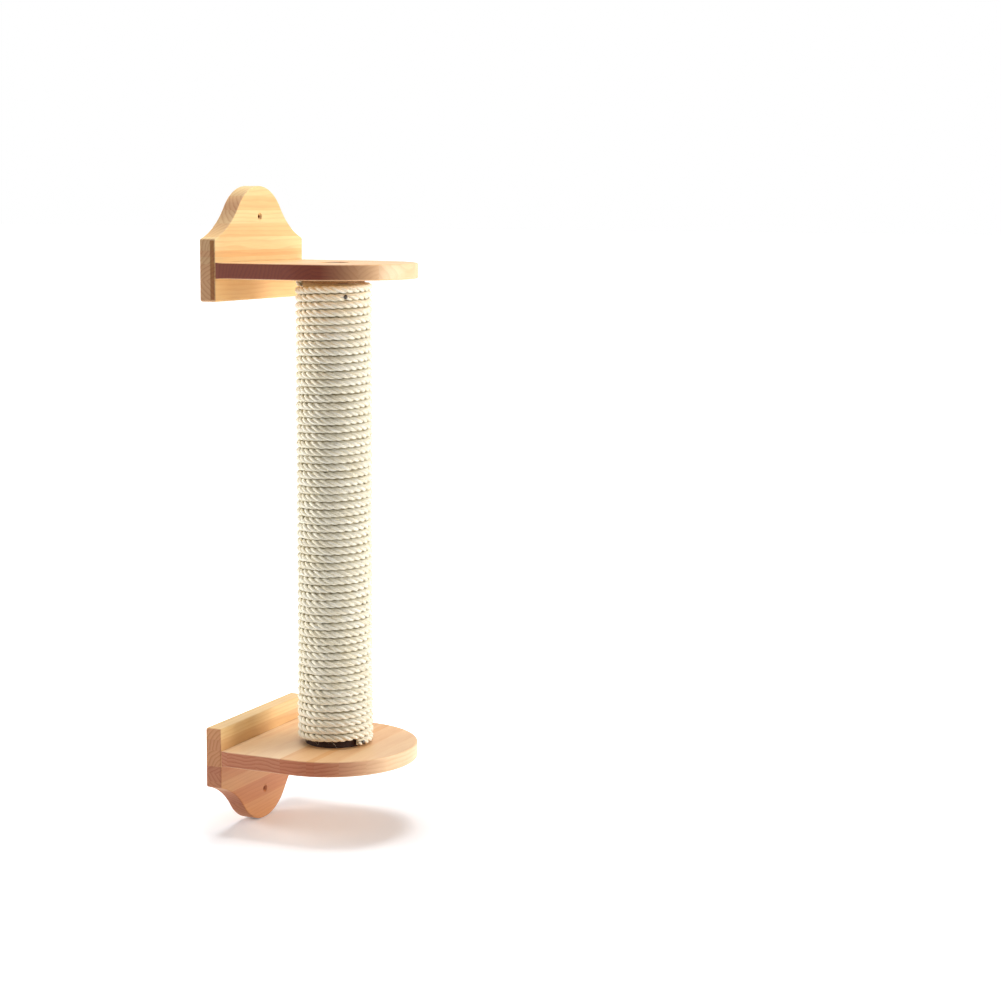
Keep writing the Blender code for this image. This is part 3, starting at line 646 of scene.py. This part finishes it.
for end, way in (("upper", 1), ("lower", -1)):
    low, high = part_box(f"{end}_washer")
    thick = high[2] - low[2]
    radius = (high[0] - low[0]) / 2
    profile = [(BOLT_HOLE_RADIUS, 0.0), (BOLT_HOLE_RADIUS, thick)]
    for turn in np.linspace(0.0, math.pi / 2, WASHER_ROLL_STEPS):
        inset, drop = WASHER_ROLL * (1 - math.sin(turn)), WASHER_ROLL * (1 - math.cos(turn))
        profile.append((radius - inset, thick - drop))
    profile += [(radius, 0.0), (BOLT_HOLE_RADIUS, 0.0)]
    seat = low[2] if way == 1 else high[2]
    washer = skin(f"{end}_washer_ring", on_post(turned(profile), seat, way), zinc)
    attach(washer, "root")
    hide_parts(f"{end}_washer")

    low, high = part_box(f"{end}_post_bolt")
    length = high[2] - low[2]
    head = (high[0] - low[0]) / 2
    socket = BOLT_SOCKET_FLAT
    profile = [
        (0.6 * MM, 0.0),
        (BOLT_POINT_RADIUS, 0.0),
        (BOLT_RADIUS, 0.9 * MM),
        (BOLT_RADIUS, length - BOLT_HEAD_THICKNESS),
        (head - 0.3 * MM, length - BOLT_HEAD_THICKNESS),
        (head, length - 2.4 * MM),
        (head, length - 0.9 * MM),
        (head - 0.25 * MM, length - 0.3 * MM),
        (head - 0.8 * MM, length),
        (socket + 0.9 * MM, length),
        (socket + 0.35 * MM, length),
        (socket, length - 0.25 * MM),
        (socket, length - BOLT_SOCKET_DEPTH),
        (0.9 * MM, length - 2.1 * MM),
    ]
    flats = [0, 0, 0, 0, 0, 0, 0, 0, 0, 0, 1, 1, 1, 0]
    seat = low[2] if way == 1 else high[2]
    shape = on_post(turned(profile, flats=flats), seat, way)
    bolt = skin(f"{end}_bolt_flat_head", shape, zinc, capped=True)
    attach(bolt, "root")
    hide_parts(f"{end}_post_bolt")

    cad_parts[f"{end}_insert_nut"].data.materials.clear()
    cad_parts[f"{end}_insert_nut"].data.materials.append(zinc)

# Sisal rope: three strands of coarse bleached leaf fibre, laid up right-handed to 8 mm, and wound on the
# post under tension, turn against turn, from behind the post at the top to its left front at the bottom. A
# tack in the second turn and one at the lower end pinch it.
TURNS = 61
TOP_END_ANGLE = math.radians(113)
BOTTOM_END_ANGLE = math.radians(247)
ROPE_LAY = 27.0 * MM
STRAND_RADIUS = 2.08 * MM
ROWS_PER_LAY = 13
STRAND_COLUMNS = 12
PINCH_DEPTH = 1.3 * MM
PINCH_REACH = 4.5 * MM
WINDING_RIPPLE = 0.18 * MM
WINDING_WANDER = 0.22 * MM
LAY_DRIFT = 0.25
STRAND_UNEVEN = 0.045
STRAND_TWIST = 0.42  # millimetres round the strand for one along it
STRAND_END = 0.55  # the share of its thickness that a strand's last row has
STRAND_NEAR_END = 0.93
rope_low, rope_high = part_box("sisal_rope")
rope_angle = TURNS * math.tau + TOP_END_ANGLE - BOTTOM_END_ANGLE
ROPE_RADIUS = (rope_high[2] - rope_low[2]) / (rope_angle / math.tau + 1) / 2
STRAND_OFFSET = ROPE_RADIUS - STRAND_RADIUS
WINDING_RADIUS = TUBE_RADIUS + ROPE_RADIUS
rope_drop = rope_high[2] - rope_low[2] - 2 * ROPE_RADIUS
rope_length = math.hypot(rope_angle * WINDING_RADIUS, rope_drop)
rope_slope = rope_drop / (rope_angle * WINDING_RADIUS)

# Where the tacks stand: their angles about the post, their heights, and their lengths along the rope
tack_places = {}
for end in ("upper", "lower"):
    low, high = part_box(f"{end}_rope_tack")
    middle = (np.array(low) + np.array(high)) / 2
    tack_angle = math.atan2(middle[1] - POST_Y, middle[0] - POST_X)
    passed = (rope_high[2] - ROPE_RADIUS - middle[2]) / rope_drop * rope_angle
    turned_by = TOP_END_ANGLE - tack_angle
    turned_by += math.tau * round((passed - turned_by) / math.tau)
    tack_places[end] = (tack_angle, middle[2], turned_by / rope_angle * rope_length)


def waves(along, shortest, longest, seed, count=7):
    """Smooth chance variation between about -1 and 1: a sum of sines with lengths spread between the two
    and phases from the seed."""
    chance = np.random.default_rng(seed)
    lengths = np.geomspace(shortest, longest, count) * chance.uniform(0.9, 1.1, count)
    phases = chance.uniform(0.0, math.tau, count)
    return np.sin(along[..., None] / lengths * math.tau + phases).sum(axis=-1) / math.sqrt(count)


def rope_path(along):
    """The middle of the rope at these lengths from its upper end, with the directions along it, out from
    the post and up. It is a helix that goes down as its angle falls, a little uneven as hand winding is,
    and drawn in towards the post by a bell curve about each tack."""
    share = along / rope_length
    angle = TOP_END_ANGLE - share * rope_angle
    out = np.stack([np.cos(angle), np.sin(angle), 0 * angle], axis=-1)
    radius = WINDING_RADIUS + WINDING_RIPPLE * waves(along, 25 * MM, 400 * MM, seed=5)
    for _, _, pinched in tack_places.values():
        radius = radius - PINCH_DEPTH * np.exp(-(((along - pinched) / PINCH_REACH) ** 2))
    height = rope_high[2] - ROPE_RADIUS - share * rope_drop
    height = height + WINDING_WANDER * waves(along, 30 * MM, 300 * MM, seed=6)
    place = out * radius[..., None] + [POST_X, POST_Y, 0.0]
    place[..., 2] = height
    run = np.stack([np.sin(angle), -np.cos(angle), 0 * angle - rope_slope], axis=-1)
    run /= np.linalg.norm(run, axis=-1)[..., None]
    return place, run, out, np.cross(run, out)


def strand(order):
    """One of the rope's three strands: a round tube whose middle circles the rope's middle once in each
    lay, falling to the right on the face of the post. Returns the points and the fibre coordinates:
    millimetres round the strand from its inner side, and millimetres along it."""
    rows = int(rope_length / ROPE_LAY * ROWS_PER_LAY)
    along = np.linspace(0.0, rope_length, rows)
    place, run, out, up = rope_path(along)
    drift = LAY_DRIFT * waves(along, 60 * MM, 700 * MM, seed=40)
    lay = order * math.tau / 3 + drift + along / ROPE_LAY * math.tau
    from_middle = np.cos(lay)[:, None] * out + np.sin(lay)[:, None] * up
    middle = place + STRAND_OFFSET * from_middle
    forward = np.gradient(middle, axis=0)
    forward /= np.linalg.norm(forward, axis=1)[:, None]
    side = np.cross(forward, from_middle)
    side /= np.linalg.norm(side, axis=1)[:, None]
    outer = np.cross(side, forward)
    round_it = math.pi + np.arange(STRAND_COLUMNS) * math.tau / STRAND_COLUMNS
    thick = 1 + STRAND_UNEVEN * waves(along, 9 * MM, 120 * MM, seed=50 + order)
    thick[[0, -1]] = STRAND_END
    thick[[1, -2]] *= STRAND_NEAR_END
    radius = STRAND_RADIUS * thick[:, None, None]
    ring = np.cos(round_it)[:, None] * outer[:, None] + np.sin(round_it)[:, None] * side[:, None]
    grid = middle[:, None] + radius * ring
    around = np.arange(STRAND_COLUMNS + 1) / STRAND_COLUMNS * math.tau * STRAND_RADIUS / MM
    uv = np.stack(np.broadcast_arrays(around[None], along[:, None] / MM), axis=-1)
    return [grid[None]], uv[None]


# Bare sisal: hard, slightly shiny leaf fibres twisted into strands. To the eye: pale cream streaks with
# some straw-coloured and brownish fibres that run along the rope, a rough surface, and dark grooves.
sisal, tree = new_material("laid_sisal")
sisal_at = add_node(tree, "SeparateXYZ", {0: add_node(tree, "UVMap")})
sisal_round = add_node(
    tree,
    "Math",
    {0: sisal_at.outputs["Y"], 1: STRAND_TWIST, 2: sisal_at.outputs["X"]},
    operation="MULTIPLY_ADD",
)
sisal_twisted = add_node(tree, "CombineXYZ", {"X": sisal_round, "Y": sisal_at.outputs["Y"]})
# Bundles of fibre half a millimetre wide and 14 mm long, and stained stretches 7 mm by 45 mm
sisal_bundles = add_node(tree, "Mapping", {"Vector": sisal_twisted, "Scale": (1 / 0.55, 1 / 14, 1.0)})
sisal_fibres = add_node(
    tree, "TexNoise", {"Vector": sisal_bundles, "Scale": 1.0, "Detail": 4.0, "Roughness": 0.6}
)
sisal_stretches = add_node(tree, "Mapping", {"Vector": sisal_twisted, "Scale": (1 / 7, 1 / 45, 1.0)})
sisal_stains = add_node(tree, "TexNoise", {"Vector": sisal_stretches, "Scale": 1.0, "Detail": 2.0})
sisal_mix = add_node(tree, "Math", {0: sisal_fibres, 1: 0.8}, operation="MULTIPLY")
sisal_mix = add_node(tree, "Math", {0: sisal_stains, 1: 0.35, 2: sisal_mix}, operation="MULTIPLY_ADD")
sisal_colour = add_node(
    tree,
    "ValToRGB",
    {"Fac": sisal_mix},
    [(0.30, "#d8c598"), (0.45, "#f0e4c4"), (0.60, "#faf3de"), (0.80, "#fefbf0")],
)
sisal_bump = add_node(tree, "Bump", {"Height": sisal_fibres, "Strength": 0.7, "Distance": 0.35 * MM})
give_surface(
    tree, {"Base Color": sisal_colour, "Roughness": 0.72, "Sheen Weight": 0.15, "Normal": sisal_bump}
)
for order, label in enumerate(("first", "second", "third")):
    patches, fibre_uv = strand(order)
    laid = skin(f"rope_{label}_strand", patches, sisal, capped=True, uv=fibre_uv, crease=80.0)
    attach(laid, "root")
    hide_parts("sisal_rope")

# Loose sisal fibres: ends that stand up from the rope all over the post, 4 to 12 mm long and a fifth of a
# millimetre thick, each caught in the lay at its root and bending away from it.
FIBRE_COUNT = 5200
FIBRE_ROWS = 5
FIBRE_RADIUS = 0.1 * MM
FIBRE_TAPER = 0.75
FIBRE_LENGTHS = (4.0, 12.0)
FIBRE_ROOT_DEPTH = 0.45 * MM
FIBRE_TILT = 1.1
FIBRE_SLANT = 0.5
FIBRE_RISES = (0.05, 0.42)
FIBRE_EARLY_RISE = 0.35
FIBRE_SWAY = 0.22
FIBRE_PATTERN_STEP = 3.7
FIBRE_PATTERN_LENGTH = 9.0


def loose_fibres(count, chance):
    """Tapered triangular tubes, one for each fibre: its middle leaves the rope's surface along the rope,
    rises partly with its length and partly with the square of it, and sways to one side with the square.
    Returns the points and the fibre coordinates."""
    place, run, out, up = rope_path(chance.uniform(0.01, 0.99, count) * rope_length)
    tilt = chance.uniform(-FIBRE_TILT, FIBRE_TILT, count)[:, None]
    lifted = out * np.cos(tilt) + up * np.sin(tilt)
    root = place + lifted * (ROPE_RADIUS - FIBRE_ROOT_DEPTH)
    slant = chance.normal(0.0, FIBRE_SLANT, count)[:, None]
    heading = run * np.cos(slant) + np.cross(lifted, run) * np.sin(slant)
    heading = heading * np.where(chance.random(count) < 0.5, -1.0, 1.0)[:, None]
    reach = (chance.uniform(*FIBRE_LENGTHS, count) * MM)[:, None, None]
    rise = chance.uniform(*FIBRE_RISES, count)[:, None, None]
    sway = chance.normal(0.0, FIBRE_SWAY, count)[:, None, None]
    share = np.linspace(0.0, 1.0, FIBRE_ROWS)[None, :, None]
    risen = FIBRE_EARLY_RISE * share + (1 - FIBRE_EARLY_RISE) * share**2
    across = np.cross(lifted, heading)[:, None]
    middle = (
        root[:, None]
        + reach * share * heading[:, None]
        + reach * rise * risen * lifted[:, None]
        + reach * sway * share**2 * across
    )
    corner = (np.arange(3) * math.tau / 3)[:, None]
    thin = FIBRE_RADIUS * (1.0 - FIBRE_TAPER * share)[..., None]
    ring = np.cos(corner) * lifted[:, None, None] + np.sin(corner) * across[:, :, None]
    around = np.arange(count)[:, None, None] * FIBRE_PATTERN_STEP
    forward = share * FIBRE_PATTERN_LENGTH + np.zeros(4)
    uv = np.stack(np.broadcast_arrays(around, forward), axis=-1)
    return [middle[:, :, None] + thin * ring], uv


patches, fibre_uv = loose_fibres(FIBRE_COUNT, np.random.default_rng(77))
fibres = skin("rope_loose_fibres", patches, sisal, capped=True, uv=fibre_uv, crease=80.0)
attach(fibres, "root")

# Rope tacks: domed blued steel, driven through the rope into the tube until their heads sink a little into
# it. To the eye: nearly black, with a faint brown bloom in spots of 1.4 mm.
TACK_HEAD_RADIUS = 2.5 * MM
TACK_HEAD_RISE = 0.9 * MM
TACK_SHANK_RADIUS = 0.9 * MM
TACK_IN_TUBE = 3.0 * MM
TACK_POINT = 2.0 * MM
TACK_HEAD_EDGE = 0.15 * MM
TACK_DOME_STEPS = 7
blued, tree = new_material("blued_steel")
blued_place = add_node(tree, "TexCoord").outputs["Object"]
blued_bloom = add_node(tree, "TexNoise", {"Vector": blued_place, "Scale": 0.7 / MM, "Detail": 3.0})
blued_colour = add_node(tree, "ValToRGB", {"Fac": blued_bloom}, [(0.35, "#3a3b3d"), (0.7, "#6b6053")])
give_surface(tree, {"Base Color": blued_colour, "Metallic": 1.0, "Roughness": 0.45})
for end, (angle, height, _) in tack_places.items():
    seat = WINDING_RADIUS + ROPE_RADIUS - PINCH_DEPTH
    profile = [
        (0.15 * MM, TUBE_RADIUS - TACK_IN_TUBE),
        (TACK_SHANK_RADIUS, TUBE_RADIUS - TACK_IN_TUBE + TACK_POINT),
        (TACK_SHANK_RADIUS, seat),
        (TACK_HEAD_RADIUS - 0.2 * MM, seat),
    ]
    for turn in np.linspace(0.0, math.pi / 2, TACK_DOME_STEPS)[:-1]:
        rise = TACK_HEAD_RISE * math.sin(turn)
        profile.append((TACK_HEAD_RADIUS * math.cos(turn), seat + TACK_HEAD_EDGE + rise))
    tack = turned(profile, columns=32)
    out = np.array([math.cos(angle), math.sin(angle), 0.0])
    side = np.array([-math.sin(angle), math.cos(angle), 0.0])
    driven = tack[..., 2:] * out + tack[..., :1] * side + tack[..., 1:2] * [0.0, 0.0, 1.0]
    driven += [POST_X, POST_Y, height]
    head = skin(f"{end}_tack_domed_head", [driven[None]], blued, capped=True)
    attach(head, "root")
    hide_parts(f"{end}_rope_tack")

# Shelf screws: countersunk wood screws of bright zinc, 4 by 50 mm, driven through the plates from behind
# until their heads are flush. Each has a cross recess and a rolled thread on its front two thirds.
SCREW_RADIUS = 2.0 * MM
SCREW_THREAD_DEPTH = 0.45 * MM
SCREW_PITCH = 1.8 * MM
SCREW_PLAIN = 17.0 * MM
SCREW_TIP = 4.0 * MM
SCREW_HEAD_EDGE = 0.25 * MM
SCREW_HEAD_INSET = 0.2 * MM
SCREW_COLUMNS = 40
SCREW_ROWS = 150
SCREW_FACE_ROWS = 16
RECESS_ARM = 0.62 * MM
RECESS_REACH = 2.3 * MM
RECESS_DEPTH = 1.6 * MM
RECESS_WALL = 0.3 * MM
RECESS_END_SLOPE = 0.9 * MM


def wood_screw(head, length):
    """A screw along the third axis, its head at 0: a flat head whose cross recess is as deep as the
    distance to the nearer of two crossing arms allows, a cone, a plain shank, and a thread whose crest
    climbs with the angle and runs out at the tip."""
    angle = (np.arange(SCREW_COLUMNS) * math.tau / SCREW_COLUMNS)[None]
    disc = np.linspace(0.02, 1.0, SCREW_FACE_ROWS)[:, None] * (head - SCREW_HEAD_INSET)
    x, y = np.abs(disc * np.cos(angle)), np.abs(disc * np.sin(angle))
    arm = np.clip((RECESS_ARM + RECESS_WALL / 2 - np.minimum(x, y)) / RECESS_WALL, 0.0, 1.0)
    ends = np.clip((RECESS_REACH - np.maximum(x, y)) / RECESS_END_SLOPE, 0.0, 1.0)
    face = [disc + 0 * angle, RECESS_DEPTH * arm * ends]
    cone = [[head, SCREW_HEAD_EDGE], [SCREW_RADIUS, SCREW_HEAD_EDGE + head - SCREW_RADIUS]]
    cone = np.array(cone)[..., None]
    rolled = np.linspace(SCREW_PLAIN, length, SCREW_ROWS)[:, None]
    crest = np.abs((rolled / SCREW_PITCH - angle / math.tau) % 1.0 - 0.5) * 2
    grown = np.clip((rolled - SCREW_PLAIN) / SCREW_PITCH, 0.0, 1.0)
    tip = np.clip((length - rolled) / SCREW_TIP, 0.03, 1.0)
    reach = (SCREW_RADIUS - SCREW_THREAD_DEPTH * grown * (1 - crest**3)) * tip
    reach = np.concatenate([face[0], cone[:, 0] + 0 * angle, reach])
    depth = np.concatenate([face[1], cone[:, 1] + 0 * angle, rolled + 0 * angle])
    return np.stack([reach * np.cos(angle), reach * np.sin(angle), depth], axis=-1)


for end in ("upper", "lower"):
    for side in ("left", "right"):
        low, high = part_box(f"{end}_{side}_shelf_screw")
        screw = wood_screw((high[0] - low[0]) / 2, high[1] - low[1])
        middle = [(low[0] + high[0]) / 2, high[1], (low[2] + high[2]) / 2]
        driven = np.stack([screw[..., 0], -screw[..., 2], screw[..., 1]], axis=-1) + middle
        made = skin(f"{end}_{side}_cross_screw", [driven[None]], zinc, capped=True)
        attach(made, "root")
        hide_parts(f"{end}_{side}_shelf_screw")

# Studio floor: a broad pale sheet just under the lower plate's tip. It shows the camera white, near the
# object only where light falls on it, so that the object's soft shadow stays.
FLOOR_GAP = 0.3 * MM  # keeps the sheet clear of the plate
FLOOR_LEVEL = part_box("lower_wall_plate")[0][2] - FLOOR_GAP
FLOOR_HALF = 60.0
SHADOW_NEAR = 0.15
SHADOW_FAR = 0.50
SHADOW_GLOW = 0.10  # how white the floor glows in the shadow


def seen_directly(tree):
    """Is 1 where the camera sees something itself, in a mirror or through glass, and 0 where it only sends
    light to other things: the greatest of these three kinds of ray."""
    rays = add_node(tree, "LightPath")
    glossy, through = rays.outputs["Is Glossy Ray"], rays.outputs["Is Transmission Ray"]
    seen = add_node(tree, "Math", {0: glossy, 1: through}, operation="MAXIMUM")
    return add_node(tree, "Math", {0: rays.outputs["Is Camera Ray"], 1: seen}, operation="MAXIMUM")


floor_finish, tree = new_material("white_paper_floor")
floor_place = add_node(tree, "TexCoord").outputs["Object"]
below_post = (-POST_X, -POST_Y, -FLOOR_LEVEL)
floor_place = add_node(tree, "Mapping", {"Vector": floor_place, "Location": below_post})
floor_away = add_node(tree, "VectorMath", {0: floor_place}, operation="LENGTH")
floor_white = add_node(
    tree,
    "MapRange",
    {
        "Value": floor_away.outputs["Value"],
        "From Min": SHADOW_NEAR,
        "From Max": SHADOW_FAR,
        "To Min": SHADOW_GLOW,
    },
)
floor_seen = seen_directly(tree)
floor_glow = add_node(tree, "Math", {0: floor_seen, 1: floor_white}, operation="MULTIPLY")
give_surface(
    tree,
    {
        "Base Color": "#f8f9fc",
        "Roughness": 0.9,
        "Specular IOR Level": 0.1,
        "Emission Color": "#ffffff",
        "Emission Strength": floor_glow,
    },
)
floor_mesh = bpy.data.meshes.new("studio_floor")
floor_signs = ((-1, -1), (1, -1), (1, 1), (-1, 1))
floor_corners = [(x * FLOOR_HALF, y * FLOOR_HALF, FLOOR_LEVEL) for x, y in floor_signs]
floor_mesh.from_pydata(floor_corners, [], [(0, 1, 2, 3)])
floor_mesh.materials.append(floor_finish)
floor = add_object("studio_floor", floor_mesh)

# Studio light: a white room, a large soft box in front of the wall plates and a little to their right, one
# behind them, and a broad one overhead.
ROOM_LIGHT = 0.24  # the room's strength as light. It is seen at 1
world = bpy.data.worlds.new("studio")
bpy.context.scene.world = world
world.use_nodes = True
tree = world.node_tree
tree.nodes.clear()
world_seen = seen_directly(tree)
world_strength = add_node(tree, "MapRange", {"Value": world_seen, "To Min": ROOM_LIGHT})
world_light = add_node(tree, "Background", {"Color": "#ffffff", "Strength": world_strength})
add_node(tree, "OutputWorld", {"Surface": world_light})
POST_MIDDLE = np.array([POST_X, POST_Y, (UPPER_LEVEL + LOWER_LEVEL) / 2])
SOFT_BOXES = (
    ("front_soft_box", (0.42, -0.91, 0.16), 2.2, 1.2, 39.0),
    ("overhead_soft_box", (0.05, 0.0, 1.0), 3.5, 2.0, 102.0),
    ("rear_soft_box", (-0.20, 1.00, 0.10), 2.2, 1.0, 40.0),
)
for name, direction, distance, size, power in SOFT_BOXES:
    lamp = bpy.data.lights.new(name, "AREA")
    lamp.shape = "SQUARE"
    lamp.size = size
    lamp.energy = power
    box = add_object(name, lamp)
    away = np.array(direction) / np.linalg.norm(direction)
    sideways = np.cross([0.0, 0.0, 1.0] if abs(away[2]) < 0.9 else [1.0, 0.0, 0.0], away)
    sideways /= np.linalg.norm(sideways)
    box.location = POST_MIDDLE + away * distance
    box.rotation_euler = Matrix(np.stack([sideways, np.cross(away, sideways), away], 1)).to_euler()

# Camera: where the photograph was taken from, 66 degrees to the left of square-on and 8 degrees down. Its
# focal length is in pixels of the picture.
CAMERA_PLACE = (-2140.6 * MM, -1269.4 * MM, 72.1 * MM)
CAMERA_AZIMUTH = math.radians(-66.22)
CAMERA_PITCH = math.radians(-7.90)
CAMERA_ROLL = math.radians(0.36)
FOCAL_PIXELS = 2112.0
PICTURE_PIXELS = 1001.0
camera_data = bpy.data.cameras.new("camera")
camera_data.sensor_width = 36.0
camera_data.lens = FOCAL_PIXELS / PICTURE_PIXELS * camera_data.sensor_width
camera_data.clip_end = 200.0
camera = add_object("camera", camera_data)
camera.location = CAMERA_PLACE
camera.rotation_euler = (
    Matrix.Rotation(CAMERA_AZIMUTH, 3, "Z")
    @ Matrix.Rotation(math.pi / 2 + CAMERA_PITCH, 3, "X")
    @ Matrix.Rotation(CAMERA_ROLL, 3, "Z")
).to_euler()
bpy.context.scene.camera = camera
bpy.context.scene.view_settings.view_transform = "Standard"
